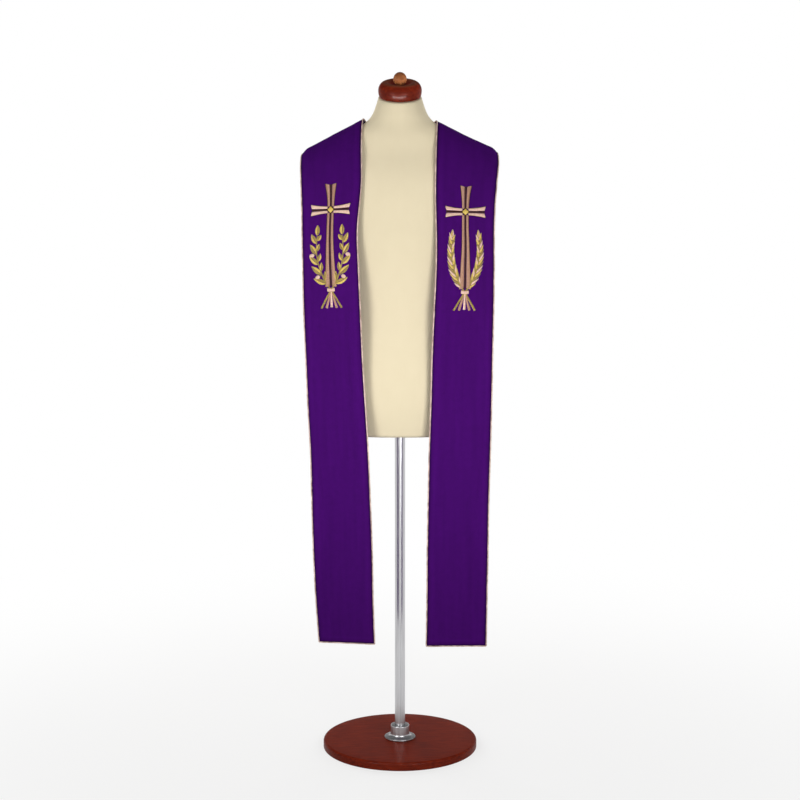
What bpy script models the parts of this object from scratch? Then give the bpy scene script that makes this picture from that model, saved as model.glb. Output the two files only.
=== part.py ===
"""A clerical stole on a dress form, in metres, +Z up.

The stole is two straight bands of lined cloth that meet in a mitred seam at the centre back, lie over
the form's shoulders and hang down its front, which faces -Y. A thin cord edges each band. The form is a
limbless body on a pole and a round foot, with a turned cap on its neck. The origin is on the floor, at
the middle of the foot.
"""

import math
from collections import namedtuple

import bmesh
import bpy
import numpy as np
from mathutils import Euler, Vector
from mathutils.bvhtree import BVHTree

CLEARANCE = 0.0003          # between pieces that touch

# Stole
CLOTH = 0.002               # face, interlining and lining together
CORD_DIAMETER = 0.0032      # the edging cord
CLOTH_OFF_FORM = 0.0006     # how near the cloth comes to the form that carries it
ACROSS = (0, 0.14, 0.28, 0.42, 0.56, 0.70, 0.83, 0.93, 1)   # the loft's columns, as shares of the width
EDGE_DROOP = 0.011          # how far the outer edge drops at the tip of the shoulder
DROOP_REACH = 0.055         # how far from the tip, along the edge, the droop has nearly faded
DROOP_SHAPE = ((0, 0), (0.5, 0.05), (0.83, 0.5), (0.93, 0.75), (1, 0))   # share of the width, rise
CORD_START = 0.0014         # the cords' ends stay this far from the centre back plane
LAYING_ROUNDS = 5           # how often the cloth is moved clear of the form
BRIDGING = 12               # how many neighbours each move reaches

# Form
NECK_TILT = math.radians(17)
RING_POINTS = 40
RING_STEP = 0.03            # height between rings, at most

# Cap and knob
CAP_RADIUS = 0.0515
CAP_HEIGHT = 0.0355         # to the highest part of its top, round the knob
CAP_BOTTOM = 0.0470         # radius of its flat underside
CAP_CREST = 0.0320          # radius where the round rim meets the low dome of the top
CAP_CREST_HEIGHT = 0.0345
KNOB_SEAT = 0.0080          # radius of the flat that the knob stands on, at the bottom of a cup
KNOB_SEAT_HEIGHT = 0.0310
KNOB_CUP = 0.0114           # radius of the cup's rim
KNOB_FOOT = 0.0074          # radius of the knob's short foot
KNOB_FOOT_HEIGHT = 0.0014
KNOB_RADIUS = 0.0148
KNOB_CENTRE = 0.0142        # height of the ball's centre above the seat
KNOB_HEIGHT = 0.0297

# Stand
FOOT_RADIUS = 0.190
FOOT_THICKNESS = 0.020
FOOT_EDGE = 0.006           # radius of the rounding round the top edge
COLLAR_RADIUS = 0.0230      # the flanged collar round the pole's lower end
COLLAR_HEIGHT = 0.034
COLLAR_EDGE = 0.003
COLLAR_FILLET = 0.008       # where the collar flows into its flange
FLANGE_RADIUS = 0.038
FLANGE_THICKNESS = 0.004
POLE_RADIUS = 0.0125
SOCKET_DEPTH = 0.090
TURNED_STEPS = 40

# The form's rings, bottom to top. Each is a superellipse of this half width, this deep to the front and
# to the back of the pole's axis, and tilted forward by a share of NECK_TILT.
Ring = namedtuple("Ring", "height half_width front back power tilt")
FORM_RINGS = tuple(Ring(*row) for row in (
    (0.790, 0.1640, 0.105, 0.112, 2.3, 0.0),
    (0.840, 0.1770, 0.114, 0.122, 2.3, 0.0),
    (0.925, 0.1830, 0.118, 0.127, 2.3, 0.0),
    (1.010, 0.1720, 0.113, 0.112, 2.3, 0.0),
    (1.095, 0.1580, 0.108, 0.095, 2.3, 0.0),
    (1.185, 0.1630, 0.116, 0.100, 2.4, 0.0),
    (1.280, 0.1780, 0.127, 0.113, 2.4, 0.0),
    (1.340, 0.1890, 0.123, 0.121, 2.4, 0.0),
    (1.390, 0.2020, 0.111, 0.120, 2.4, 0.0),
    (1.420, 0.2120, 0.099, 0.112, 2.3, 0.0),
    (1.442, 0.2165, 0.087, 0.100, 2.2, 0.0),
    (1.455, 0.2145, 0.079, 0.092, 2.1, 0.0),
    (1.466, 0.2060, 0.074, 0.087, 2.0, 0.0),
    (1.477, 0.1870, 0.070, 0.083, 2.0, 0.0),
    (1.490, 0.1610, 0.066, 0.079, 2.0, 0.0),
    (1.505, 0.1310, 0.062, 0.074, 2.0, 0.05),
    (1.519, 0.1020, 0.058, 0.068, 2.0, 0.15),
    (1.531, 0.0810, 0.055, 0.060, 2.0, 0.3),
    (1.543, 0.0690, 0.054, 0.054, 2.0, 0.5),
    (1.556, 0.0630, 0.055, 0.049, 2.0, 0.7),
    (1.572, 0.0570, 0.0565, 0.0465, 2.0, 0.9),
    (1.5885, 0.0520, 0.0580, 0.0460, 2.0, 1.0),
    (1.591, 0.0495, 0.0555, 0.0435, 2.0, 1.0),
))

# A band's cross lines, from the centre back seam over the shoulder to the hem, by the finished edges.
# x is the distance from the centre plane, so that the same rows serve both bands on the back.
Section = namedtuple("Section", "inner_x inner_y inner_z outer_x outer_y outer_z")
BACK_SECTIONS = (
    (0.0000, 0.0960, 1.4680, 0.0000, 0.1270, 1.2850),
    (0.0220, 0.0900, 1.4840, 0.0520, 0.1250, 1.3210),
    (0.0440, 0.0740, 1.5030, 0.1050, 0.1170, 1.3580),
    (0.0630, 0.0520, 1.5190, 0.1560, 0.0960, 1.3940),
    (0.0760, 0.0280, 1.5270, 0.2000, 0.0600, 1.4270),
)
RIGHT_FRONT_SECTIONS = (
    (0.0830, 0.0030, 1.5340, 0.2300, 0.0120, 1.4530),
    (0.0840, -0.0240, 1.5170, 0.2330, -0.0120, 1.4370),
    (0.0850, -0.0500, 1.4920, 0.2335, -0.0290, 1.4210),
    (0.0856, -0.0760, 1.4600, 0.2335, -0.0430, 1.4000),
    (0.0856, -0.0960, 1.4250, 0.2330, -0.0540, 1.3740),
    (0.0870, -0.1120, 1.3850, 0.2322, -0.0610, 1.3440),
    (0.0915, -0.1230, 1.3400, 0.2315, -0.0650, 1.3090),
    (0.0965, -0.1290, 1.2850, 0.2312, -0.0660, 1.2640),
    (0.0945, -0.1310, 1.2000, 0.2303, -0.0700, 1.1900),
    (0.0902, -0.1310, 1.0950, 0.2285, -0.0750, 1.0900),
    (0.0859, -0.1310, 0.9850, 0.2245, -0.0770, 0.9830),
    (0.0791, -0.1310, 0.8700, 0.2203, -0.0820, 0.8690),
    (0.0724, -0.1310, 0.7570, 0.2145, -0.0850, 0.7540),
    (0.0679, -0.1310, 0.6400, 0.2118, -0.0930, 0.6370),
    (0.0638, -0.1310, 0.5250, 0.2090, -0.0970, 0.5220),
    (0.0620, -0.1310, 0.4100, 0.2045, -0.0890, 0.4060),
    (0.0584, -0.1310, 0.2975, 0.1974, -0.0800, 0.2890),
)
LEFT_FRONT_SECTIONS = (
    (0.0830, 0.0030, 1.5275, 0.2300, 0.0120, 1.4550),
    (0.0820, -0.0240, 1.5170, 0.2312, -0.0120, 1.4370),
    (0.0805, -0.0500, 1.4920, 0.2308, -0.0300, 1.4210),
    (0.0800, -0.0760, 1.4600, 0.2290, -0.0460, 1.4000),
    (0.0797, -0.0960, 1.4250, 0.2270, -0.0600, 1.3740),
    (0.0797, -0.1120, 1.3850, 0.2245, -0.0700, 1.3440),
    (0.0802, -0.1230, 1.3400, 0.2230, -0.0760, 1.3090),
    (0.0818, -0.1290, 1.2850, 0.2223, -0.0790, 1.2640),
    (0.0820, -0.1310, 1.2000, 0.2228, -0.0820, 1.1900),
    (0.0776, -0.1310, 1.0950, 0.2218, -0.0920, 1.0900),
    (0.0730, -0.1310, 0.9850, 0.2198, -0.1010, 0.9820),
    (0.0705, -0.1310, 0.8700, 0.2180, -0.1060, 0.8680),
    (0.0667, -0.1310, 0.7570, 0.2155, -0.1120, 0.7550),
    (0.0645, -0.1310, 0.6400, 0.2125, -0.1140, 0.6380),
    (0.0627, -0.1310, 0.5250, 0.2115, -0.1180, 0.5240),
    (0.0622, -0.1310, 0.4100, 0.2100, -0.1150, 0.4090),
    (0.0608, -0.1310, 0.2925, 0.2085, -0.1190, 0.2895),
)
SHOULDER_ROW_STEP = 0.014   # between the loft's cross lines, where the cloth bends over the shoulder
HANGING_ROW_STEP = 0.045    # and where it hangs straight
HANGING_BELOW = 1.25        # the height below which it does


# Scene and materials

def clear_scene():
    for thing in list(bpy.data.objects):
        bpy.data.objects.remove(thing, do_unlink=True)


def new_collection(name):
    collection = bpy.data.collections.new(name)
    bpy.context.scene.collection.children.link(collection)
    return collection


def make_material(name, colour, roughness, metallic=0.0):
    material = bpy.data.materials.new(name)
    material.use_nodes = True
    shader = material.node_tree.nodes["Principled BSDF"]
    shader.inputs["Base Color"].default_value = (*colour, 1.0)
    shader.inputs["Roughness"].default_value = roughness
    shader.inputs["Metallic"].default_value = metallic
    material.diffuse_color = (*colour, 1.0)
    return material


def add_object(name, data, collection, material=None):
    thing = bpy.data.objects.new(name, data)
    collection.objects.link(thing)
    if material:
        data.materials.append(material)
    return thing


# Curves through a table's rows

def smooth_through(knots, values, at):
    """A smooth curve through the values at the knots (cubic Hermite, slopes from the neighbours)."""
    knots = np.asarray(knots, float)
    values = np.asarray(values, float)
    slopes = np.gradient(values, knots, axis=0)
    spans = np.clip(np.searchsorted(knots, at, side="right") - 1, 0, len(knots) - 2)
    width = (knots[spans + 1] - knots[spans])[:, None]
    t = ((at - knots[spans])[:, None]) / width
    return (
        (2 * t**3 - 3 * t**2 + 1) * values[spans]
        + (t**3 - 2 * t**2 + t) * width * slopes[spans]
        + (3 * t**2 - 2 * t**3) * values[spans + 1]
        + (t**3 - t**2) * width * slopes[spans + 1]
    )


def unit(vectors):
    return vectors / np.linalg.norm(vectors, axis=-1, keepdims=True)


def loft_faces(rows, columns, closed):
    """Quads between neighbouring rows of points; closed joins each row's last point to its first."""
    across = columns if closed else columns - 1
    faces = []
    for row in range(rows - 1):
        for column in range(across):
            beside = (column + 1) % columns
            faces.append((
                row * columns + column,
                row * columns + beside,
                (row + 1) * columns + beside,
                (row + 1) * columns + column,
            ))
    return faces


# The form

def superellipse(angle, half_width, front, back, power):
    across = math.copysign(abs(math.cos(angle)) ** (2 / power), math.cos(angle))
    deep = math.copysign(abs(math.sin(angle)) ** (2 / power), math.sin(angle))
    return half_width * across, deep * (back if deep > 0 else front)


def form_ring(ring):
    middle = (ring.back - ring.front) / 2
    slope = math.tan(NECK_TILT * ring.tilt)
    points = []
    for step in range(RING_POINTS):
        angle = 2 * math.pi * step / RING_POINTS
        x, y = superellipse(angle, ring.half_width, ring.front, ring.back, ring.power)
        points.append((x, y, ring.height + (y - middle) * slope))
    return points


def ring_heights(heights):
    """The table's heights, with more between those that lie far apart."""
    found = []
    for low, high in zip(heights, heights[1:]):
        steps = max(1, math.ceil((high - low) / RING_STEP))
        found += [low + (high - low) * step / steps for step in range(steps)]
    return np.array(found + [heights[-1]])


def build_form_body(collection, cutters, material):
    heights = [ring.height for ring in FORM_RINGS]
    rings = smooth_through(heights, FORM_RINGS, ring_heights(heights))
    points = [point for ring in rings for point in form_ring(Ring(*ring))]
    faces = loft_faces(len(rings), RING_POINTS, closed=True)
    last = len(points) - RING_POINTS
    faces.append(tuple(reversed(range(RING_POINTS))))
    faces.append(tuple(range(last, last + RING_POINTS)))
    mesh = bpy.data.meshes.new("form_body")
    mesh.from_pydata(points, [], faces)
    body = add_object("form_body", mesh, collection, material)
    mesh.shade_smooth()
    mesh.set_sharp_from_angle(angle=math.radians(50))
    bottom = FORM_RINGS[0].height
    socket = build_rod("pole_socket", cutters, POLE_RADIUS + 2 * CLEARANCE,
                       bottom - SOCKET_DEPTH, bottom + SOCKET_DEPTH)
    socket.hide_render = True
    socket.display_type = "WIRE"
    cut = body.modifiers.new("pole_socket", "BOOLEAN")
    cut.operation = "DIFFERENCE"
    cut.object = socket
    return body


def build_rod(name, collection, radius, bottom, top, material=None):
    shape = bmesh.new()
    bmesh.ops.create_cone(shape, cap_ends=True, segments=TURNED_STEPS // 2, radius1=radius,
                          radius2=radius, depth=top - bottom)
    mesh = bpy.data.meshes.new(name)
    shape.to_mesh(mesh)
    shape.free()
    mesh.shade_smooth()
    mesh.set_sharp_from_angle(angle=math.radians(40))
    rod = add_object(name, mesh, collection, material)
    rod.location = (0, 0, (bottom + top) / 2)
    return rod


def build_turned(name, collection, profile, material, steps=TURNED_STEPS):
    """A solid of revolution round local Z. The profile runs down the outer side, from axis to axis, or
    for a ring down the outer side and back up the hole."""
    mesh = bpy.data.meshes.new(name)
    points = [(radius, 0, height) for radius, height in profile]
    edges = [(i, i + 1) for i in range(len(points) - 1)]
    if profile[0][0] > 0:
        edges.append((len(points) - 1, 0))
    mesh.from_pydata(points, edges, [])
    turned = add_object(name, mesh, collection, material)
    screw = turned.modifiers.new("turn", "SCREW")
    screw.axis = "Z"
    screw.angle = 2 * math.pi
    screw.steps = steps
    screw.render_steps = steps
    screw.use_merge_vertices = True
    screw.merge_threshold = 0.00005
    screw.use_smooth_shade = True
    return turned


def arc(centre_radius, centre_height, radius, start, end, steps):
    """Points of a round stretch of a profile, by angles in degrees from the outward direction."""
    found = []
    for step in range(steps + 1):
        angle = math.radians(start + (end - start) * step / steps)
        found.append((centre_radius + radius * math.cos(angle), centre_height + radius * math.sin(angle)))
    return found


def cap_profile():
    """A thick disc with a full round rim and a low dome on top, with a cup where the knob sits."""
    dome = [(KNOB_CUP + (CAP_CREST - KNOB_CUP) * share,
             CAP_HEIGHT - (CAP_HEIGHT - CAP_CREST_HEIGHT) * share**2)
            for share in (0, 0.35, 0.7)]
    wide = 0.42 * CAP_HEIGHT
    upper = [(CAP_CREST + (CAP_RADIUS - CAP_CREST) * math.sin(a),
              wide + (CAP_CREST_HEIGHT - wide) * math.cos(a))
             for a in np.radians((0, 22, 42, 60, 76, 90))]
    lower = [(CAP_BOTTOM + (CAP_RADIUS - CAP_BOTTOM) * math.cos(a), wide * (1 - math.sin(a)))
             for a in np.radians((25, 50, 72, 90))]
    return [(0, KNOB_SEAT_HEIGHT), (KNOB_SEAT, KNOB_SEAT_HEIGHT)] + dome + upper + lower + [(0, 0)]


def knob_profile():
    """A ball on a short foot, drawn up to a low point."""
    body = arc(0, KNOB_CENTRE, KNOB_RADIUS, 66, -54, 8)
    point = [(0, KNOB_HEIGHT), (0.0028, KNOB_HEIGHT - 0.0005)]
    return point + body + [(KNOB_FOOT, KNOB_FOOT_HEIGHT), (KNOB_FOOT, 0), (0, 0)]


def build_neck_cap(collection, cap_material, knob_material):
    top = FORM_RINGS[-1]
    tilt = Euler((NECK_TILT, 0, 0))
    up = Vector((0, 0, 1))
    up.rotate(tilt)
    seat = Vector((0, (top.back - top.front) / 2, top.height))
    cap = build_turned("neck_cap", collection, cap_profile(), cap_material)
    cap.location = seat + up * CLEARANCE
    cap.rotation_euler = tilt
    knob = build_turned("cap_knob", collection, knob_profile(), knob_material, TURNED_STEPS // 2)
    knob.location = seat + up * (KNOB_SEAT_HEIGHT + 2 * CLEARANCE)
    knob.rotation_euler = tilt


def foot_profile(hole, hole_bottom):
    under_edge = FOOT_EDGE / 2
    return [
        (0, hole_bottom),
        (hole, hole_bottom),
        (hole, FOOT_THICKNESS),
        *arc(FOOT_RADIUS - FOOT_EDGE, FOOT_THICKNESS - FOOT_EDGE, FOOT_EDGE, 90, 0, 4),
        *arc(FOOT_RADIUS - under_edge, under_edge, under_edge, 0, -90, 3),
        (0, 0),
    ]


def collar_profile(hole):
    lip = FLANGE_THICKNESS / 2
    return [
        (hole, COLLAR_HEIGHT),
        *arc(COLLAR_RADIUS - COLLAR_EDGE, COLLAR_HEIGHT - COLLAR_EDGE, COLLAR_EDGE, 90, 0, 3),
        *arc(COLLAR_RADIUS + COLLAR_FILLET, FLANGE_THICKNESS + COLLAR_FILLET, COLLAR_FILLET, 180, 270, 4),
        *arc(FLANGE_RADIUS - lip, lip, lip, 90, 0, 3),
        (FLANGE_RADIUS, 0),
        (hole, 0),
    ]


def build_stand(collection, foot_material, pole_material):
    hole = POLE_RADIUS + 2 * CLEARANCE
    hole_bottom = FOOT_THICKNESS / 2
    build_turned("stand_foot", collection, foot_profile(hole, hole_bottom), foot_material)
    collar = build_turned("pole_collar", collection, collar_profile(hole), pole_material)
    collar.location = (0, 0, FOOT_THICKNESS + CLEARANCE)
    build_rod("pole", collection, POLE_RADIUS, hole_bottom + CLEARANCE,
              FORM_RINGS[0].height + SOCKET_DEPTH - CLEARANCE, pole_material)


# The stole

def tree_of(body):
    graph = bpy.context.evaluated_depsgraph_get()
    evaluated = body.evaluated_get(graph)
    return BVHTree.FromObject(evaluated, graph)


def row_places(edges):
    """Where along the sections the loft's cross lines lie, closer together over the shoulder."""
    inner, outer = edges[:, :3], edges[:, 3:]
    gaps = (np.linalg.norm(np.diff(inner, axis=0), axis=1)
            + np.linalg.norm(np.diff(outer, axis=0), axis=1)) / 2
    knots = np.concatenate([[0], np.cumsum(gaps)])
    places = []
    for section, gap in enumerate(gaps):
        hangs = inner[section, 2] < HANGING_BELOW
        steps = max(1, round(gap / (HANGING_ROW_STEP if hangs else SHOULDER_ROW_STEP)))
        places += [knots[section] + gap * step / steps for step in range(steps)]
    return knots, np.array(places + [knots[-1]])


def grid_normals(side, points):
    """Unit normals of a band's grid of points, facing away from the form."""
    along = np.gradient(points, axis=0)
    across = np.gradient(points, axis=1)
    return unit(side * np.cross(along, across))


def shortfalls(points, form_tree):
    """How much nearer the form each point of a grid is than the cloth may be."""
    found = np.zeros(points.shape[:2])
    for row, column in np.ndindex(found.shape):
        point = Vector(points[row, column])
        place, normal, _, distance = form_tree.find_nearest(point)
        inside = (point - place).dot(normal) < 0
        found[row, column] = max(0, CLOTH_OFF_FORM - (-distance if inside else distance))
    return found


def lay_clear(points, normals, form_tree):
    """Moves the cloth out along its normals wherever a point or the middle of a cell comes nearer the
    form than it may, and carries the points around along, so that it bridges hollows as stiff cloth
    does."""
    need = shortfalls(points, form_tree)
    middles = (points[:-1, :-1] + points[1:, :-1] + points[:-1, 1:] + points[1:, 1:]) / 4
    cells = shortfalls(middles, form_tree)
    for corner in (need[:-1, :-1], need[1:, :-1], need[:-1, 1:], need[1:, 1:]):
        np.maximum(corner, cells, out=corner)
    move = need.copy()
    for _ in range(BRIDGING):
        padded = np.pad(move, 1, mode="edge")
        around = (padded[:-2, 1:-1] + padded[2:, 1:-1] + padded[1:-1, :-2] + padded[1:-1, 2:]) / 4
        move = np.maximum(need, around)
    return points + normals * move[:, :, None]


def shoulder_crown(outer, share):
    """The rise of the cloth above a straight cross line, so that its outer edge droops over the tip of
    the shoulder. It fades out down the front and the back."""
    tip = int(np.argmax(outer[:, 2]))
    from_tip = np.linalg.norm(outer - outer[tip], axis=1)[:, None]
    across = np.interp(share, *np.transpose(DROOP_SHAPE))
    return EDGE_DROOP * across * np.exp(-((from_tip / DROOP_REACH) ** 2))


def band_grid(side, front_sections, form_tree):
    """The underside of one band as a grid of points: row 0 is the seam, the last row the hem, column 0
    the inner edge. side is -1 for the wearer's right and 1 for the left."""
    edges = np.array([Section(*row) for row in BACK_SECTIONS + front_sections])
    knots, places = row_places(edges)
    edges = smooth_through(knots, edges, places)
    inner, outer = edges[:, :3], edges[:, 3:]
    inner[:, 0] *= side
    outer[:, 0] *= side
    width = np.linalg.norm(outer - inner, axis=1)[:, None]
    inset = (CORD_DIAMETER + CLEARANCE) / width
    share = inset + (1 - 2 * inset) * np.array(ACROSS)[None, :]
    points = inner[:, None, :] + (outer - inner)[:, None, :] * share[:, :, None]
    points[:, :, 2] += shoulder_crown(outer, share)
    for _ in range(LAYING_ROUNDS):
        points = lay_clear(points, grid_normals(side, points), form_tree)
    points[0, :, 0] = side * CLEARANCE / 2
    return points


def build_band(name, side, points, collection, material):
    rows, columns, _ = points.shape
    faces = loft_faces(rows, columns, closed=False)
    if side > 0:
        faces = [tuple(reversed(face)) for face in faces]
    mesh = bpy.data.meshes.new(name)
    mesh.from_pydata(points.reshape(-1, 3).tolist(), [], faces)
    mesh.shade_smooth()
    band = add_object(name, mesh, collection, material)
    wall = band.modifiers.new("wall", "SOLIDIFY")
    wall.thickness = CLOTH
    wall.offset = 1
    wall.use_even_offset = False
    return band


def beside_edge(line, normals, away_from):
    """Unit directions in the cloth's plane, square to an edge and away from the points beside it."""
    square = unit(np.cross(np.gradient(line, axis=0), normals))
    sign = np.sign(np.sum(square * (line - away_from), axis=1, keepdims=True))
    return square * sign


def cord_route(side, points):
    """The middle of the cord: down the inner edge, round the hem and back up the outer edge."""
    normals = grid_normals(side, points)
    radius = CORD_DIAMETER / 2
    beside = radius + CLEARANCE
    lifted = points + normals * radius
    edges = []
    for edge, next_in in ((0, 1), (-1, -2)):
        away = beside_edge(points[:, edge], normals[:, edge], points[:, next_in])
        edges.append((lifted[:, edge], away))
    down = beside_edge(points[-1], normals[-1], points[-2])
    corners = []
    for (line, away), end in zip(edges, (down[0], down[-1])):
        quarter = [line[-1] + beside * (math.cos(a) * away[-1] + math.sin(a) * end)
                   for a in np.radians((0, 30, 60, 90))]
        corners.append(quarter)
    inner, outer = (line + away * beside for line, away in edges)
    hem = lifted[-1] + down * beside
    route = np.concatenate([inner[:-1], corners[0], hem[1:-1], corners[1][::-1], outer[-2::-1]])
    return ends_at_seam(ends_at_seam(route)[::-1])


def ends_at_seam(route):
    """The route with its first points cut off, or lengthened, so that it starts CORD_START from the
    centre back plane."""
    first = int(np.argmax(np.abs(route[:, 0]) > CORD_START + CORD_DIAMETER / 2))
    rest = route[first:]
    reach = (abs(rest[0, 0]) - CORD_START) / (abs(rest[1, 0]) - abs(rest[0, 0]))
    return np.concatenate([[rest[0] - (rest[1] - rest[0]) * reach], rest])


def build_cord(name, route, collection, material):
    curve = bpy.data.curves.new(name, "CURVE")
    curve.dimensions = "3D"
    curve.bevel_depth = CORD_DIAMETER / 2
    curve.bevel_resolution = 1
    curve.use_fill_caps = True
    line = curve.splines.new("POLY")
    line.points.add(len(route) - 1)
    for point, place in zip(line.points, route):
        point.co = (*place, 1)
    return add_object(name, curve, collection, material)


def main():
    clear_scene()
    collection = new_collection("clerical_stole")
    cutters = new_collection("cutters")
    cutters.hide_render = True

    purple = make_material("purple_cloth", (0.055, 0.003, 0.130), 0.85)
    gold = make_material("gold_cord", (0.62, 0.45, 0.22), 0.45, 0.3)
    jersey = make_material("cream_jersey", (0.76, 0.68, 0.50), 0.9)
    mahogany = make_material("mahogany", (0.20, 0.025, 0.008), 0.3)
    knob_wood = make_material("knob_wood", (0.33, 0.09, 0.025), 0.35)
    steel = make_material("pole_steel", (0.60, 0.60, 0.62), 0.3, 1.0)

    body = build_form_body(collection, cutters, jersey)
    build_neck_cap(collection, mahogany, knob_wood)
    build_stand(collection, mahogany, steel)

    bpy.context.view_layer.update()
    form_tree = tree_of(body)
    for wearer_side, side, sections in (("right", -1, RIGHT_FRONT_SECTIONS),
                                        ("left", 1, LEFT_FRONT_SECTIONS)):
        points = band_grid(side, sections, form_tree)
        build_band(f"stole_{wearer_side}_band", side, points, collection, purple)
        build_cord(f"edge_cord_{wearer_side}", cord_route(side, points), collection, gold)


main()
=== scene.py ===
import math
from functools import partial

import bmesh
import bpy
import numpy as np
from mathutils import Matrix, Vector
from mathutils.bvhtree import BVHTree


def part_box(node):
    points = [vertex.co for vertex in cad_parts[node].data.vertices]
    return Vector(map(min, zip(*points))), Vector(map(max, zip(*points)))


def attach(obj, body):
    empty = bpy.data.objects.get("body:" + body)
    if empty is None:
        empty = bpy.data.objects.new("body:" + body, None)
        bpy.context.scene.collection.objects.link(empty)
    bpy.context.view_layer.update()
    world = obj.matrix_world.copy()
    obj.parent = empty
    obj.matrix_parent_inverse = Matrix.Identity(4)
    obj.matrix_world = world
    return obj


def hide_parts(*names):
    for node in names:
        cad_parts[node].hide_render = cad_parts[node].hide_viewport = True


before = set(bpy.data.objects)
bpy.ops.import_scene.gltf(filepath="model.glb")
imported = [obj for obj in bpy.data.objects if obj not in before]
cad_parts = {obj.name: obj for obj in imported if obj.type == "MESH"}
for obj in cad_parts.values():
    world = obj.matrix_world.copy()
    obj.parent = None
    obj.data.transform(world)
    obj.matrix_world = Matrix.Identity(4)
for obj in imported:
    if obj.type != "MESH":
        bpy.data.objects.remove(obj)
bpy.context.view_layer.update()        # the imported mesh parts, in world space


# small helpers shared by every piece

def linear(hexColour):
    # sRGB hex, as a colour picker shows it, to the linear colour that a shader takes
    found = []
    for start in (1, 3, 5):
        c = int(hexColour[start:start + 2], 16) / 255
        found.append(c / 12.92 if c <= 0.04045 else ((c + 0.055) / 1.055) ** 2.4)
    return (*found, 1.0)


def unit(vectors):
    return vectors / np.maximum(np.linalg.norm(vectors, axis=-1, keepdims=True), 1e-12)


def quads(index, wrap=False, flip=False):
    # the four-sided faces of a grid of point numbers; wrap joins each row's last point to its first
    beside = np.roll(index, -1, axis=1) if wrap else index[:, 1:]
    here = index if wrap else index[:, :-1]
    corners = np.stack((here[:-1], beside[:-1], beside[1:], here[1:]), axis=-1).reshape(-1, 4)
    return (corners[:, ::-1] if flip else corners).tolist()


def tube(index):
    # the faces of a closed tube through a grid of point numbers, with its two ends
    return quads(index, wrap=True) + [index[0, ::-1].tolist(), index[-1].tolist()]


def runOn(grid):
    # three more points past each end, in line, so that a surface runs on there
    first, last = grid[0] - grid[1], grid[-1] - grid[-2]
    return np.concatenate(([grid[0] + first * k for k in (3, 2, 1)], grid,
                           [grid[-1] + last * k for k in (1, 2, 3)]))


def newPiece(name, points, faces, *materials, flatMap=None, mapName="flatCut"):
    # a smooth-shaded mesh object; flatMap gives each point its place in the flat cut, in metres, or
    # another place that its material reads
    mesh = bpy.data.meshes.new(name)
    mesh.from_pydata(np.asarray(points, float).reshape(-1, 3).tolist(), [], faces)
    mesh.shade_smooth()
    piece = bpy.data.objects.new(name, mesh)
    bpy.context.scene.collection.objects.link(piece)
    for material in materials:
        mesh.materials.append(material)
    if flatMap is not None:
        layer = mesh.uv_layers.new(name=mapName)
        corners = np.empty(len(mesh.loops), dtype=int)
        mesh.loops.foreach_get("vertex_index", corners)
        layer.data.foreach_set("uv", np.asarray(flatMap, float).reshape(-1, 2)[corners].ravel())
    return piece


def standsFor(piece, node):
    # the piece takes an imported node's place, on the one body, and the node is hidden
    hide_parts(node)
    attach(piece, "root")


def feed(node, inputs):
    # an input is a number, a colour or another node's output
    for socket, value in inputs.items():
        if isinstance(value, bpy.types.NodeSocket):
            node.id_data.links.new(value, node.inputs[socket])
        else:
            node.inputs[socket].default_value = value


def addNode(tree, kind, inputs, output=0, stops=(), **settings):
    # one node with its settings and links; it gives back the output that is wanted. Stops are a colour
    # ramp's places and hex colours
    node = tree.nodes.new("ShaderNode" + kind)
    for setting, value in settings.items():
        setattr(node, setting, value)
    feed(node, inputs)
    if stops:
        elements = node.color_ramp.elements
        while len(elements) < len(stops):
            elements.new(0.5)
        for element, (place, colour) in zip(elements, stops):
            element.position, element.color = place, linear(colour)
    return node.outputs[output]


def newMaterial(name, **shader):
    # a Principled material with these fixed values on its own sockets, and a way to add nodes to it
    material = bpy.data.materials.new(name)
    material.use_nodes = True
    principled = material.node_tree.nodes["Principled BSDF"]
    feed(principled, {socket.replace("_", " "): value for socket, value in shader.items()})
    return material, partial(addNode, material.node_tree), principled


# materials; where a length below is coarser than life, it says so

weave = {
    "purple": "#440A68",          # the face cloth
    "purpleDeep": "#360753",      # where the weft dips under the warp
    "bloom": "#7030B8",
    "ribMillimetres": 1.1,        # a gabardine's rib is 0.5 mm; drawn coarser, or it would not show
    "slubMillimetres": 14,        # soft unevenness of the yarn
    "edgeReach": 40,              # how far in from an edge its shade goes, in mm
    # the brightness painted at these places in from an edge: painted shade at the edge, where the cloth
    # turns under at the cord, and a faint painted light near 11 mm in
    "edge": ((0, "#989898"), (5, "#F0F0F0"), (11, "#FFFFFF"), (20, "#F6F6F6")),   # mm in, shade
}
knit = {
    "waleMillimetres": 1.4,       # a fine jersey's are under 1 mm; drawn coarser, or they would not show
    "courseMillimetres": 1.1,
    "shade": "#DDCFAE",
    "light": "#EBDFC1",
    "belowNeck": 0.84,              # brightness below the neck, as a share of the neck's, which is painted paler, a painted light where the lamps fall off
    "fade": (1.28, 1.50),         # heights between which it turns into the paler neck, in metres
}
straightWave = 0.314              # the scale at which a wave texture has one band a unit of length
slantedWave = 0.444               # the same for its slanting bands


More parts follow.
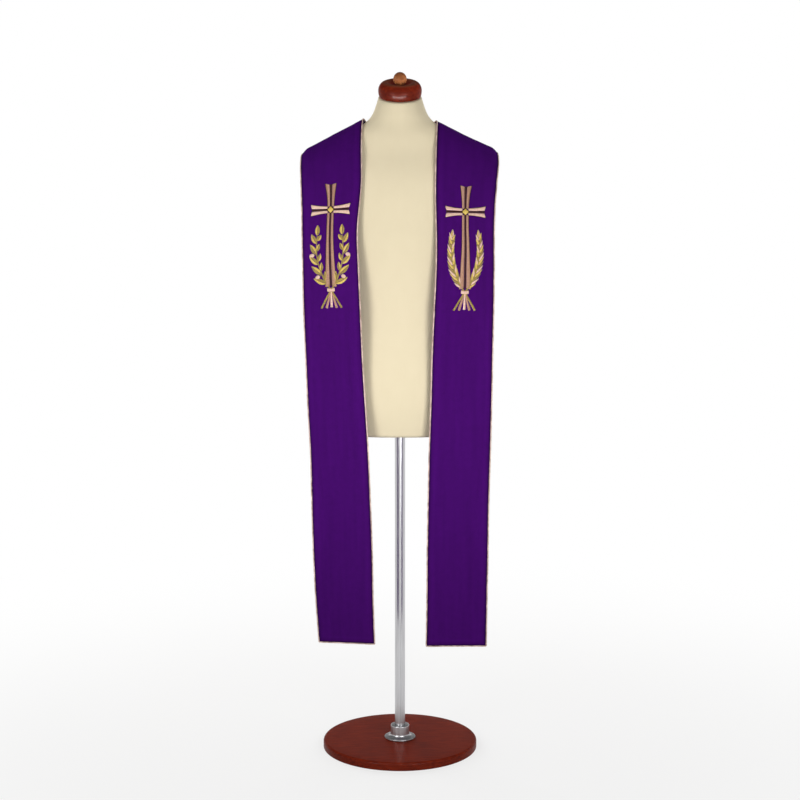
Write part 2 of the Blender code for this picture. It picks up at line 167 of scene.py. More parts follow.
def gabardineMaterial(width):
    # wool-blend gabardine, woven in a fine diagonal rib: matte and deep, with hardly any bloom; painted
    # shade darkens it along its edges, where the cloth turns under at the cord, and a faint painted light
    # lies just inside them; width is the band's, in metres
    material, add, shader = newMaterial("purpleGabardineWoven", Roughness=0.92, Specular_IOR_Level=0.03,
                                        Sheen_Weight=0.03, Sheen_Roughness=0.5,
                                        Sheen_Tint=linear(weave["bloom"]))
    flat = add("UVMap", {}, uv_map="flatCut")
    rib, slubs = weave["ribMillimetres"] / 1000, 1000 / weave["slubMillimetres"]
    twill = add("TexWave", {"Vector": flat, "Scale": slantedWave / rib, "Distortion": 0.6,
                            "Detail": 1, "Detail Scale": 0.4}, "Fac", bands_direction="DIAGONAL")
    slub = add("TexNoise", {"Vector": flat, "Scale": slubs, "Detail": 4})
    grain = add("TexNoise", {"Vector": flat, "Scale": 1.5 / rib, "Detail": 2})
    shade = add("Math", {0: twill, 1: 0.55}, operation="MULTIPLY")
    mixed = add("Math", {0: slub, 1: 0.45, 2: shade}, operation="MULTIPLY_ADD")
    colour = add("ValToRGB", {"Fac": mixed}, stops=((0.1, weave["purpleDeep"]), (0.7, weave["purple"])))

    spot = add("SeparateXYZ", {"Vector": flat})
    offMiddle = add("Math", {0: spot, 1: width / 2}, operation="SUBTRACT")
    aside = add("Math", {0: offMiddle}, operation="ABSOLUTE")
    inFromSide = add("Math", {0: width / 2, 1: aside}, operation="SUBTRACT")
    inFromEdge = add("Math", {0: inFromSide, 1: spot.node.outputs["Y"]}, operation="MINIMUM")
    # painted shade along the edges, where the cloth turns under at the cord, and a faint painted light just
    # inside them
    reach = add("MapRange", {"Value": inFromEdge, "From Max": weave["edgeReach"] / 1000})
    paintedEdgeShade = add("ValToRGB", {"Fac": reach},
                  stops=[(place / weave["edgeReach"], shade) for place, shade in weave["edge"]])
    # lighter and darker in long streaks along the band
    long = add("Mapping", {"Vector": flat, "Scale": (1, 0.07, 1)})
    streaks = add("TexNoise", {"Vector": long, "Scale": 75, "Detail": 2})
    toneShift = add("MapRange", {"Value": streaks, "From Min": 0.3, "From Max": 0.7, "To Min": 0.94,
                            "To Max": 1.07})
    shaded = add("VectorMath", {0: colour, 1: paintedEdgeShade}, operation="MULTIPLY")
    streaked = add("VectorMath", {0: shaded, "Scale": toneShift}, operation="SCALE")
    height = add("Math", {0: grain, 1: 0.5, 2: twill}, operation="MULTIPLY_ADD")
    bump = add("Bump", {"Height": height, "Strength": 0.35, "Distance": 0.0004})
    feed(shader, {"Base Color": streaked, "Normal": bump})
    return material


def liningMaterial():
    # polyester lining, plain woven and calendered: the same purple, smoother and a little silky
    material, add, shader = newMaterial("purpleLiningWoven", Roughness=0.5, Specular_IOR_Level=0.15)
    flat = add("UVMap", {}, uv_map="flatCut")
    uneven = add("TexNoise", {"Vector": flat, "Scale": 60, "Detail": 3})
    colour = add("ValToRGB", {"Fac": uneven}, stops=((0.3, "#3C0A60"), (0.7, "#4A0F74")))
    bump = add("Bump", {"Height": uneven, "Strength": 0.2, "Distance": 0.0006})
    feed(shader, {"Base Color": colour, "Normal": bump})
    return material


def cordMaterial(name, dark, light):
    # polyester yarn twisted with a little metal thread: a soft gleam that flickers along the cord
    material, add, shader = newMaterial(name, Roughness=0.4, Metallic=0.1, Specular_IOR_Level=0.5,
                                        Sheen_Weight=0.1)
    place = add("TexCoord", {}, "Object")
    fibre = add("TexNoise", {"Vector": place, "Scale": 900, "Detail": 3})
    patch = add("TexNoise", {"Vector": place, "Scale": 70, "Detail": 2})
    both = add("Math", {0: fibre, 1: 0.6, 2: patch}, operation="MULTIPLY_ADD")
    colour = add("ValToRGB", {"Fac": both}, stops=((0.55, dark), (1.05, light)))
    bump = add("Bump", {"Height": fibre, "Strength": 0.25, "Distance": 0.0003})
    feed(shader, {"Base Color": colour, "Normal": bump})
    return material


def stitchMaterial(name, dark, light, roughness=0.34, gloss=0.5):
    # rayon thread laid in satin stitch: each thread shows, painted lighter along its crest with painted
    # shade in the groove beside it, and is a little lighter or darker than the next at random
    material, add, shader = newMaterial(name, Roughness=roughness, Specular_IOR_Level=gloss)
    thread = add("UVMap", {}, uv_map="alongThread")     # counts threads; runs along in mm
    # painted light: light along each thread's crest, painted shade in the groove between it and the next
    line = add("TexWave", {"Vector": thread, "Scale": straightWave, "Phase Offset": math.pi}, "Fac",
               bands_direction="X")
    long = add("Mapping", {"Vector": thread, "Scale": (1, 0.16, 1)})
    uneven = add("TexNoise", {"Vector": long, "Scale": 0.9, "Detail": 2})
    mixed = add("Math", {0: line, 1: 0.55, 2: uneven}, operation="MULTIPLY_ADD")
    colour = add("ValToRGB", {"Fac": mixed}, stops=((0.35, dark), (1.1, light)))
    bump = add("Bump", {"Height": line, "Strength": 0.5, "Distance": 0.0003})
    feed(shader, {"Base Color": colour, "Normal": bump})
    return material


def jerseyMaterial():
    # cotton jersey, knitted and stretched tight over the form: cream, soft and quite matte, and painted
    # paler at the neck, a painted light that keeps it bright where the lamps fall off
    material, add, shader = newMaterial("creamJerseyKnitted", Roughness=0.9, Specular_IOR_Level=0.2,
                                        Sheen_Weight=0.08, Sheen_Roughness=0.5)
    flat = add("UVMap", {}, uv_map="flatCut")
    wales, courses = (
        add("TexWave", {"Vector": flat, "Scale": straightWave / (knit[spacing] / 1000),
                        "Distortion": 0.5, "Detail Scale": 0.5}, "Fac", bands_direction=way)
        for spacing, way in (("waleMillimetres", "X"), ("courseMillimetres", "Y")))
    stitch = add("Math", {0: wales, 1: courses}, operation="MULTIPLY")
    soft = add("TexNoise", {"Vector": flat, "Scale": 25, "Detail": 4})
    both = add("Math", {0: soft, 1: 0.3, 2: stitch}, operation="MULTIPLY_ADD")
    colour = add("ValToRGB", {"Fac": both}, stops=((0, knit["shade"]), (1.1, knit["light"])))
    # painted light: paler from 1.28 m up to the neck
    up = add("SeparateXYZ", {"Vector": flat}, "Y")
    neckPaintedLight = add("MapRange", {"Value": up, "From Min": knit["fade"][0],
                             "From Max": knit["fade"][1], "To Min": knit["belowNeck"]})
    paler = add("VectorMath", {0: colour, "Scale": neckPaintedLight}, operation="SCALE")
    bump = add("Bump", {"Height": stitch, "Strength": 0.4, "Distance": 0.0005})
    feed(shader, {"Base Color": paler, "Normal": bump})
    return material


def woodMaterial(name, dark, light, grainMillimetres, paintedTint, low, high, share):
    # turned hardwood, stained and varnished: grain lines under a clear satin coat; up the cap's axis from
    # low to high, in metres, it is painted towards another colour, as far as this share, to stand for how
    # light falls on the top of the piece
    material, add, shader = newMaterial(name, Roughness=0.42, Specular_IOR_Level=0.03,
                                        Coat_Weight=0.05, Coat_Roughness=0.14)
    place = add("TexCoord", {}, "Object")
    along = add("Mapping", {"Vector": place, "Scale": (0.12, 1, 1)})
    grain = add("TexNoise", {"Vector": along, "Scale": 1000 / grainMillimetres, "Detail": 6,
                             "Distortion": 0.6})
    pores = add("TexNoise", {"Vector": along, "Scale": 5000 / grainMillimetres, "Detail": 2})
    both = add("Math", {0: pores, 1: 0.3, 2: grain}, operation="MULTIPLY_ADD")
    colour = add("ValToRGB", {"Fac": both}, stops=((0.35, dark), (0.95, light)))
    axis = (0, -math.sin(capMake["tilt"]), math.cos(capMake["tilt"]))
    seat = float(np.dot(axis, capMake["seat"]))
    # painted light and painted shade by height up the cap's axis, towards the painted tint
    up = add("VectorMath", {0: place, 1: axis}, "Value", operation="DOT_PRODUCT")
    toneShift = add("MapRange", {"Value": up, "From Min": seat + low, "From Max": seat + high,
                            "To Max": share})
    mixed = add("Mix", {0: toneShift, 6: colour, 7: linear(paintedTint)}, 2, data_type="RGBA")
    bump = add("Bump", {"Height": pores, "Strength": 0.06, "Distance": 0.0003})
    feed(shader, {"Base Color": mixed, "Normal": bump})
    return material


def steelMaterial():
    # steel tube, drawn and brushed along its length: streaks that run up the pole
    material, add, shader = newMaterial("brushedSteelTube", Metallic=1)
    place = add("TexCoord", {}, "Object")
    drawn = add("Mapping", {"Vector": place, "Scale": (1, 1, 0.02)})
    streaks = add("TexNoise", {"Vector": drawn, "Scale": 700, "Detail": 3})
    colour = add("ValToRGB", {"Fac": streaks}, stops=((0.3, "#B4B4B6"), (0.7, "#D2D2D4")))
    rough = add("MapRange", {"Value": streaks, "To Min": 0.22, "To Max": 0.42})
    feed(shader, {"Base Color": colour, "Roughness": rough})
    return material


print("materials")
lining = liningMaterial()
cordThread = cordMaterial("goldCordTwistedPolyester", "#A07C74", "#F1D6CD")
threads = {
    # the pale thread's lightest colour is partly a painted highlight, the sheen of satin stitch
    "pale": stitchMaterial("paleGoldRayonThread", "#A67A62", "#EDCAB6"),
    "deep": stitchMaterial("deepGoldRayonThread", "#6E4834", "#BC8E72"),
    "yellow": stitchMaterial("yellowGoldRayonThread", "#92742A", "#E4C85E"),
    "olive": stitchMaterial("oliveGoldRayonThread", "#54430F", "#A68E36"),
    "brown": stitchMaterial("darkBrownRayonThread", "#180704", "#38150B", 0.55, 0.2),
}
jersey = jerseyMaterial()


# the cloth's surface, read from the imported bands

laying = {
    "frontRows": 112,             # hem to shoulder, about one each 11 mm
    "backRows": 28,               # shoulder to the seam, where they fan out
    "columns": 25,
    "reach": 0.04,                # how far off the chord a ray starts
    "merged": 0.00002,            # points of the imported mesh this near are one
    "inside": (0, 0, 1.3),        # a place that every outer face looks away from
    "seamReach": 0.003,           # how near the middle of the back, and the hem, a corner is sought
    "hemReach": 0.02,
    "hangs": (0.05, 0.7),         # the stretch that hangs straight, as shares of the front rows
}


def outerSkin(node):
    # the outer face of a band's solid, with its normals, parted from the rims and the underside
    work = bmesh.new()
    work.from_mesh(node.data)
    bmesh.ops.remove_doubles(work, verts=work.verts, dist=laying["merged"])
    work.normal_update()
    work.faces.index_update()
    skins, seen = [], set()
    for first in work.faces:
        if first.index in seen:
            continue
        seen.add(first.index)
        skin, waiting = [], [first]
        while waiting:
            face = waiting.pop()
            skin.append(face)
            for other in (near for edge in face.edges for near in edge.link_faces):
                if other.index not in seen and other.normal.dot(face.normal) > 0.5:
                    seen.add(other.index)
                    waiting.append(other)
        skins.append(skin)
    middle = Vector(laying["inside"])
    outer = max(skins, key=lambda skin: sum(
        face.calc_area() * face.normal.dot(face.calc_center_median() - middle) for face in skin))
    kept = {face.index for face in outer}
    rim = {}
    for edge in (edge for face in outer for edge in face.edges):
        if sum(near.index in kept for near in edge.link_faces) == 1:
            for end in edge.verts:
                rim.setdefault(end, set()).add(edge.other_vert(end))
    start = next(iter(rim))
    loop, before = [start], None
    while len(loop) < len(rim):
        step = next(near for near in rim[loop[-1]] if near is not before)
        before = loop[-1]
        loop.append(step)
    edgeLoop = np.array([end.co for end in loop])
    tree = BVHTree.FromPolygons([tuple(end.co) for end in work.verts],
                                [[end.index for end in face.verts] for face in outer])
    work.free()
    return edgeLoop, tree


def chainBetween(loop, first, last, avoid):
    # the stretch of a closed loop from one corner to another, the way round that misses a third
    count = len(loop)
    for step in (1, -1):
        chain = [first]
        while chain[-1] != last:
            chain.append((chain[-1] + step) % count)
        if avoid not in chain:
            return loop[chain]


def lengthsAlong(points):
    # how far along a line each of its points lies
    return np.concatenate(([0], np.cumsum(np.linalg.norm(np.diff(points, axis=0), axis=1))))


def resample(points, places):
    # points at these shares of a line's length
    along = lengthsAlong(points)
    return np.stack([np.interp(np.asarray(places) * along[-1], along, points[:, k])
                     for k in range(points.shape[1])], axis=1)


def softened(grid, axis, rounds=1):
    # each point drawn towards its two neighbours, with the ends kept
    grid = np.moveaxis(grid.copy(), axis, 0)
    for _ in range(rounds):
        grid[1:-1] = (grid[:-2] + 2 * grid[1:-1] + grid[2:]) / 4
    return np.moveaxis(grid, 0, axis)


def edgeRows(edge):
    # rows spaced evenly up to the shoulder and evenly beyond it, how far up that is, and the whole length
    along = lengthsAlong(edge)
    shoulder, end = along[np.argmax(edge[:, 2])] / along[-1], along[-1]
    shares = np.concatenate((np.linspace(0, shoulder, laying["frontRows"], endpoint=False),
                             np.linspace(shoulder, 1, laying["backRows"] + 1)))
    return resample(edge, shares), float(shoulder * end), float(end)


def readBand(node, side):
    # a smooth surface through a band's outer face; side is 1 for the wearer's left, -1 for the right
    loop, tree = outerSkin(node)
    x, z = np.abs(loop[:, 0]), loop[:, 2]
    atSeam = np.flatnonzero(x < laying["seamReach"])
    atHem = np.flatnonzero(z < z.min() + laying["hemReach"])
    neckCorner, backCorner = atSeam[np.argmax(z[atSeam])], atSeam[np.argmin(z[atSeam])]
    innerHem, outerHem = atHem[np.argmin(x[atHem])], atHem[np.argmax(x[atHem])]
    inner = chainBetween(loop, innerHem, neckCorner, outerHem)
    outer = chainBetween(loop, outerHem, backCorner, innerHem)
    band = {"side": side}
    innerEdge, band["innerShoulder"], band["innerLength"] = edgeRows(inner)
    outerEdge, band["outerShoulder"], band["outerLength"] = edgeRows(outer)
    chord = outerEdge - innerEdge
    along = np.gradient((innerEdge + outerEdge) / 2, axis=0)
    rows, columns = len(innerEdge), laying["columns"]
    outward = unit(np.cross(chord, along)) * side
    grid = np.empty((rows, columns, 3))
    for column, share in enumerate(np.linspace(0, 1, columns)):
        for row in range(rows):
            point = innerEdge[row] + chord[row] * share
            found = None
            if 0 < column < columns - 1:
                found = tree.ray_cast(Vector(point + outward[row] * laying["reach"]),
                                      Vector(-outward[row]), 2 * laying["reach"])[0]
                found = found or tree.find_nearest(Vector(point))[0]
            grid[row, column] = found or point
    hanging = slice(*(round(share * laying["frontRows"]) for share in laying["hangs"]))
    square = unit(along[hanging])[:, None]          # the rows slant, so the width is taken square to the run
    steps = np.diff(grid[hanging], axis=1)
    steps -= square * (steps * square).sum(axis=2, keepdims=True)
    band["width"] = float(np.median(np.linalg.norm(steps, axis=2).sum(axis=1)))
    band["grid"] = np.moveaxis(runOn(np.moveaxis(runOn(grid), 1, 0)), 0, 1)
    return band


def splineWeights(place):
    # which control point comes first, and what each of four gives, for a uniform cubic B-spline
    first = np.floor(place).astype(int)
    f = place - first
    return first + 2, ((1 - f) ** 3 / 6, (3 * f**3 - 6 * f**2 + 4) / 6,
                       (-3 * f**3 + 3 * f**2 + 3 * f + 1) / 6, f**3 / 6)


def readGrid(grid, row, column):
    # points of the surface at these rows and columns of its control grid, within what runs on at its ends
    row = np.clip(row, -1.9, grid.shape[0] - 6.1)
    column = np.clip(column, -1.9, grid.shape[1] - 6.1)
    firstRow, rowShares = splineWeights(row)
    firstColumn, columnShares = splineWeights(column)
    found = np.zeros((*np.shape(row), grid.shape[-1]))
    for i, rowShare in enumerate(rowShares):
        for j, columnShare in enumerate(columnShares):
            found += (rowShare * columnShare)[..., None] * grid[firstRow + i, firstColumn + j]
    return found


def bandLength(band, x):
    # the cut's length, hem to seam, at this distance from the inner edge
    return band["innerLength"] + (band["outerLength"] - band["innerLength"]) * x / band["width"]


def bandPoint(band, s, x):
    # where a place in the flat cut lies on the smooth surface
    share = x / band["width"]
    shoulder = band["innerShoulder"] + (band["outerShoulder"] - band["innerShoulder"]) * share
    beyond = (s - shoulder) / (bandLength(band, x) - shoulder)
    row = np.where(s < shoulder, s / shoulder * laying["frontRows"],
                   laying["frontRows"] + beyond * laying["backRows"])
    return readGrid(band["grid"], row, share * (laying["columns"] - 1))


def onBand(band, s, x, lift):
    # places in the flat cut, s up from the hem and x out from the inner edge, raised off the cloth
    s, x = np.broadcast_arrays(np.asarray(s, float), np.asarray(x, float))
    point = bandPoint(band, s, x)
    step = 0.002
    across = bandPoint(band, s, x + step) - bandPoint(band, s, x - step)
    along = bandPoint(band, s + step, x) - bandPoint(band, s - step, x)
    normal = unit(np.cross(across, along)) * band["side"]
    return point + normal * (np.asarray(lift) + creases(band, s, x))[..., None], normal


# soft creases: height in the cut, distance from the inner edge, length, width, rise, lean, all in mm
# but the lean, which is across over along. They are uneven, and none is deeper than 1.4 mm.
foldList = {
    -1: (
        (560, 27, 620, 17, 1.25, 0.012), (300, 118, 420, 22, -1.10, -0.01), (820, 70, 300, 34, -0.85, 0.03),
        (150, 66, 260, 26, 0.95, -0.02), (470, 92, 360, 19, -0.75, 0.02), (700, 128, 260, 16, 0.85, 0),
        (1015, 35, 150, 20, 0.75, 0.1), (1290, 60, 150, 26, 0.70, -0.18), (1360, 110, 120, 20, -0.50, 0.12),
        (60, 112, 130, 18, -0.85, 0.05),
    ),
    1: (
        (330, 24, 420, 15, 1.20, -0.008), (170, 93, 330, 17, 1.25, 0.01), (160, 112, 300, 13, -1.20, 0.01),
        (560, 58, 420, 26, -0.85, 0.012), (780, 120, 330, 20, 0.85, -0.015), (420, 124, 300, 18, -0.75, 0),
        (900, 28, 190, 22, -0.70, 0.06), (1020, 96, 150, 22, 0.75, -0.1), (1300, 88, 140, 24, 0.70, 0.16),
        (1370, 40, 120, 20, -0.50, -0.12), (80, 40, 150, 20, -0.85, -0.04),
    ),
}
making = {
    "allowance": 0.020,           # the seam allowance pressed inside each edge
    "allowanceRise": 0.00035,
    "hemTurning": 0.034,          # the turned-up hem inside
    "waver": 0.00030,             # broad unevenness of the pressing
}


def smoothStep(low, high, value):
    share = np.clip((value - low) / (high - low), 0, 1)
    return share * share * (3 - 2 * share)


def creases(band, s, x):
    # how far the cloth lies above or below its smooth surface
    width = band["width"]
    rise = np.zeros(np.shape(s))
    for place, distance, length, breadth, height, lean in foldList[band["side"]]:
        along = (s - place / 1000) / (length / 2000)
        across = (x - distance / 1000 - lean * (s - place / 1000)) / (breadth / 2000)
        rise += height / 1000 * np.clip(1 - along**2, 0, 1) ** 2 * np.exp(-across**2)
    inFromEdge = np.minimum(x, width - x)
    rise += making["allowanceRise"] * (1 - smoothStep(-0.003, 0.003, inFromEdge - making["allowance"]))
    rise += making["allowanceRise"] * (1 - smoothStep(-0.004, 0.004, s - making["hemTurning"]))
    phase = 0.7 * band["side"]           # two slow waves, some 20 and 8 cm long
    rise += making["waver"] * (np.sin(s * 31 + 9 * x + phase) * np.sin(x * 47 + phase)
                               + 0.6 * np.sin(s * 74 - 23 * x + 2 * phase))
    return rise * smoothStep(0, 0.006, inFromEdge + 0.001)


def heightOnBand(band, height):
    # how far above the hem the middle of the band first reaches this height, short of the shoulder
    places = np.linspace(0, bandLength(band, band["width"] / 2) * 0.85, 900)
    heights = bandPoint(band, places, np.full_like(places, band["width"] / 2))[:, 2]
    return float(places[np.argmax(heights >= height)])


print("the cloth's surface")
rightBand = readBand(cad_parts["stole_right_band"], -1)
leftBand = readBand(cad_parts["stole_left_band"], 1)
for band in (rightBand, leftBand):
    print("  width %.4f, inner edge %.4f (%.4f to the shoulder), outer edge %.4f (%.4f)" % (
        band["width"], band["innerLength"], band["innerShoulder"], band["outerLength"],
        band["outerShoulder"]))


# the bands: face cloth outside, lining inside, edges pressed round

gabardine = gabardineMaterial((rightBand["width"] + leftBand["width"]) / 2)
bandMake = {
    "thickness": 0.0020,          # face, interlining and lining together
    "edgeRounding": 0.0013,       # how far in the pressed edge is rounded
    "tuck": 0.0008,               # the edge runs in under the cord
    "sewn": 0.0006,               # and over the middle of the back, where the two bands are sewn together
    "rowSpacing": 0.0037,
    "columnSpacing": 0.0040,
    "edgeLines": (0, 0.00025, 0.0008, 0.0016, 0.0030, 0.0052),   # lines of points near an edge
}


def makeBand(name, band):
    lines = np.array(bandMake["edgeLines"])
    tuck, width = bandMake["tuck"], band["width"]
    between = np.linspace(lines[-1] - tuck, width - lines[-1] + tuck,
                          round((width - 2 * lines[-1]) / bandMake["columnSpacing"]) + 1)
    x = np.concatenate((lines[:-1] - tuck, between, width + tuck - lines[-2::-1]))
    length = bandLength(band, x) + bandMake["sewn"]
    count = round(length.mean() / bandMake["rowSpacing"])
    share = np.linspace(0, 1, count)[1:-1, None]
    middle = lines[-1] - tuck + share * (length - 2 * lines[-1] + tuck)[None, :]
    s = np.concatenate((np.repeat((lines - tuck)[:, None], len(x), axis=1), middle,
                        length[None, :] - lines[::-1, None]))
    x = np.broadcast_to(x, s.shape)
    fromEdge = np.minimum(np.minimum(x + tuck, width + tuck - x), np.minimum(s + tuck, length - s))
    turn = 1 - np.clip(fromEdge / bandMake["edgeRounding"], 0, 1)
    half = bandMake["thickness"] / 2
    swell = half * np.sqrt(np.clip(1 - turn**2, 0, 1))
    face = onBand(band, s, x, swell - half)[0]
    under = onBand(band, s, x, -swell - half)[0]
    rows, columns = s.shape
    faceIndex = np.arange(s.size).reshape(s.shape)
    underIndex = faceIndex.copy()            # the two sides share the points of the edge
    underIndex[1:-1, 1:-1] = s.size + np.arange((rows - 2) * (columns - 2)).reshape(rows - 2, -1)
    flip = band["side"] < 0
    outside, inside = quads(faceIndex, flip=flip), quads(underIndex, flip=not flip)
    flat = np.stack((x, s), axis=-1)
    points = np.concatenate((face.reshape(-1, 3), under[1:-1, 1:-1].reshape(-1, 3)))
    flatMap = np.concatenate((flat.reshape(-1, 2), flat[1:-1, 1:-1].reshape(-1, 2)))
    piece = newPiece(name, points, outside + inside, gabardine, lining, flatMap=flatMap)
    piece.data.polygons.foreach_set("material_index", [0] * len(outside) + [1] * len(inside))
    return piece


print("bands")
stoleRight = makeBand("stoleRightBand", rightBand)
stoleLeft = makeBand("stoleLeftBand", leftBand)
standsFor(stoleRight, "stole_right_band")
standsFor(stoleLeft, "stole_left_band")


# the edging cords: three strands laid together, sewn along the edges

cordMake = {
    "diameter": 0.0032,
    "beside": 0.0019,             # its middle, out from the cloth's edge
    "below": 0.0004,              # and below the face of the cloth
    "layLength": 0.0105,          # one full turn of a strand
    "strands": 3,
    "sides": 6,
    "step": 0.0010,
    "endsShort": 0.0014,          # of the centre back, where the two cords meet
}


def cordRoute(band):
    # the line round three edges of the cut, in points some 1 mm apart: up the inner edge last, so that
    # it starts at the back
    beside, width = cordMake["beside"], band["width"]
    inner, outer = (bandLength(band, x) - cordMake["endsShort"] for x in (0, width))
    bend = np.radians(np.linspace(0, 90, 9))
    outerSide = [(width + beside, s) for s in np.linspace(outer, 0, 1500)]
    outerCorner = [(width + beside * math.cos(a), -beside * math.sin(a)) for a in bend[1:]]
    hem = [(x, -beside) for x in np.linspace(width, 0, 160)[1:]]
    innerCorner = [(-beside * math.sin(a), -beside * math.cos(a)) for a in bend[1:]]
    innerSide = [(-beside, s) for s in np.linspace(0, inner, 1500)[1:]]
    return np.array(outerSide + outerCorner + hem + innerCorner + innerSide)


def makeCord(name, band):
    x, s = cordRoute(band).T
    middle, normal = onBand(band, s, x, -cordMake["below"])
    along = lengthsAlong(middle)
    count = int(along[-1] / cordMake["step"])
    places = np.linspace(0, along[-1], count)
    middle, normal = (np.stack([np.interp(places, along, line[:, k]) for k in range(3)], axis=1)
                      for line in (middle, normal))
    forward = unit(np.gradient(middle, axis=0))
    beside = unit(np.cross(forward, normal))
    normal = np.cross(beside, forward)
    strands, sides = cordMake["strands"], cordMake["sides"]
    spread = 1 / math.sin(math.pi / strands)              # strands touch each other
    radius = cordMake["diameter"] / 2 / (1 + spread)
    points, faces = [], []
    for strand in range(strands):
        turn = 2 * math.pi * (places / cordMake["layLength"] + strand / strands)
        out = normal * np.cos(turn)[:, None] + beside * np.sin(turn)[:, None]
        core = middle + out * radius * spread
        ahead = unit(np.gradient(core, axis=0))
        side = unit(np.cross(ahead, out))
        rise = np.cross(side, ahead)
        ring = [core + radius * (rise * math.cos(a) + side * math.sin(a))
                for a in np.arange(sides) * 2 * math.pi / sides]
        index = np.arange(count * sides).reshape(count, sides) + len(points) * count * sides
        points.append(np.stack(ring, axis=1))
        faces += tube(index)
    return newPiece(name, np.concatenate(points), faces, cordThread)


print("edging cords")
cordRight = makeCord("edgeCordRight", rightBand)
cordLeft = makeCord("edgeCordLeft", leftBand)
standsFor(cordRight, "edge_cord_right")
standsFor(cordLeft, "edge_cord_left")


# embroidery: raised satin stitch, a flared cross above crossed sprays

stitching = {
    "threadPitch": 0.0010,        # rayon thread lies 0.4 mm apart; drawn coarser, so that it shows
    "groove": 0.00020,            # between one thread and the next
    "sunk": 0.0004,               # the stitches' ends go down into the cloth
    "across": 6,                  # points from one end of a stitch to the other
    "steepest": (0.30, 0.15),     # how high a stitch may rise: this share of its length, and this in mm
    "startHeight": (0.45, 1.2),   # a row starts this low, and gains its height within so many mm
    "dome": (2.6, 0.75),          # powers that shape a stitch's rise
    "pointHalf": 0.1,             # half a leaf's width at its two points, in mm
    "slant": 0.93,                # a stitch meets the rib this much nearer the root than the leaf's edge
    "rightFoot": 1.100,           # how high the foot of the design is on each band, in metres
    "leftFoot": 1.095,
}


def satin(railA, railB, crown):
    # stitches laid side by side from one rail to the other: rows of (x, s, lift), in mm like the rails
    railA, railB = np.asarray(railA, float), np.asarray(railB, float)
    longest = max(lengthsAlong(railA)[-1], lengthsAlong(railB)[-1])
    rows = 2 * max(2, round(longest / stitching["threadPitch"] / 1000)) + 1
    places = np.linspace(0, 1, rows)
    starts, ends = resample(railA, places)[:, None], resample(railB, places)[:, None]
    share = (1 - np.cos(np.linspace(0, math.pi, stitching["across"]))) / 2
    flat = starts + (ends - starts) * share[None, :, None]
    reach = np.linalg.norm(ends - starts, axis=2)
    fromEnds = np.minimum(places, 1 - places)[:, None] * longest
    (steep, least), (start, within) = stitching["steepest"], stitching["startHeight"]
    height = np.minimum(crown, steep * reach + least) * np.minimum(1, start + fromEnds / within)
    flatness, fullness = stitching["dome"]
    dome = (1 - np.abs(2 * share - 1) ** flatness)[None, :] ** fullness
    groove = 1000 * stitching["groove"] * (np.arange(rows) % 2)[:, None] * np.ones_like(dome)
    sunk = 1000 * stitching["sunk"]
    lift = (height + sunk) * dome - sunk - groove
    return np.concatenate((flat, lift[..., None]), axis=2)


def aimed(angle):
    # one unit of length this way
    return np.array((math.cos(angle), math.sin(angle)))


def offsetLine(line, distance):
    # a line beside another, to the left of its run; the distance may change along it
    ahead = unit(np.gradient(line, axis=0))
    return line + np.stack((-ahead[:, 1], ahead[:, 0]), axis=1) * np.broadcast_to(
        distance, len(line))[:, None]


def smoothLine(corners, count=60):
    # an even curve through a few points
    corners = np.asarray(corners, float)
    padded = np.concatenate(([2 * corners[0] - corners[1]], corners, [2 * corners[-1] - corners[-2]]))
    found = []
    for first in range(len(corners) - 1):
        a, b, c, d = padded[first:first + 4]
        f = np.linspace(0, 1, count)[:, None]
        found.append(0.5 * (2 * b + (c - a) * f + (2 * a - 5 * b + 4 * c - d) * f**2
                            + (3 * b - a - 3 * c + d) * f**3))
    return resample(np.concatenate(found), np.linspace(0, 1, count))


def column(line, half, crown):
    # stitches across a line, as far to each side as half, which may change along it
    return satin(offsetLine(line, half), offsetLine(line, -half), crown)


crossPlan = {                     # in mm
    "centre": 228,                # above the foot of the design
    "top": 290,
    "foot": 47,
    "arm": 50,
    "narrow": 8.4,                # half the width where the arms meet
    "flared": 14.0,               # and at their ends
    "shaftFlare": 15.5,
    "endDip": 3.2,                # how far an end curves in
    "outline": 1.5,
    "vein": 4.4,                  # the dark stripe between an arm's two halves
    "veinUnder": 0.3,             # how far it goes in under each of them
    "goldShort": 0.2,             # and how far they stop short of the middle of the outline
    "rise": {"vein": 0.7, "gold": 1.25, "outline": 0.8},
    "lozenges": ((17.4, "brown", 1.0), (12.4, "yellow", 1.9)),     # side, thread, rise
}


def crossArm(length, start, flared, colour):
    # one arm along +x in its own plan: two halves of gold stitches, a dark vein and an outline
    share = np.linspace(0, 1, 40)
    half = crossPlan["narrow"] + (flared - crossPlan["narrow"]) * share**1.8
    vein = crossPlan["vein"] / 2 * (1 + 0.25 * share**2)
    dip, rise = crossPlan["endDip"], crossPlan["rise"]

    def lineAt(distance):
        # a line along the arm that keeps this distance from its middle, and stops at the dipped end
        end = length - dip * (1 - (distance[-1] / flared) ** 2)
        return np.stack((start + (end - start) * share, distance), axis=1)

    under = crossPlan["veinUnder"]
    found = [("brown", satin(lineAt(vein + under), lineAt(-vein - under), rise["vein"]))]
    for side in (1, -1):
        inner, outer = lineAt(vein * side), lineAt((half - crossPlan["goldShort"]) * side)
        found.append((colour, satin(inner, outer, rise["gold"])))
        edge = lineAt(half * side)
        tip = np.stack([(length - dip * (1 - k * k), flared * k * side)
                        for k in np.linspace(1, 0, 12)])
        found.append(("brown", column(np.concatenate((edge, tip[1:])), crossPlan["outline"] / 2,
                                      rise["outline"])))
    return found


def placed(part, angle, centre):
    # a part of the design turned and moved in the flat cut, in mm
    colour, rows = part
    c, s = math.cos(angle), math.sin(angle)
    moved = rows.copy()
    moved[..., 0] = rows[..., 0] * c - rows[..., 1] * s + centre[0]
    moved[..., 1] = rows[..., 0] * s + rows[..., 1] * c + centre[1]
    return colour, moved


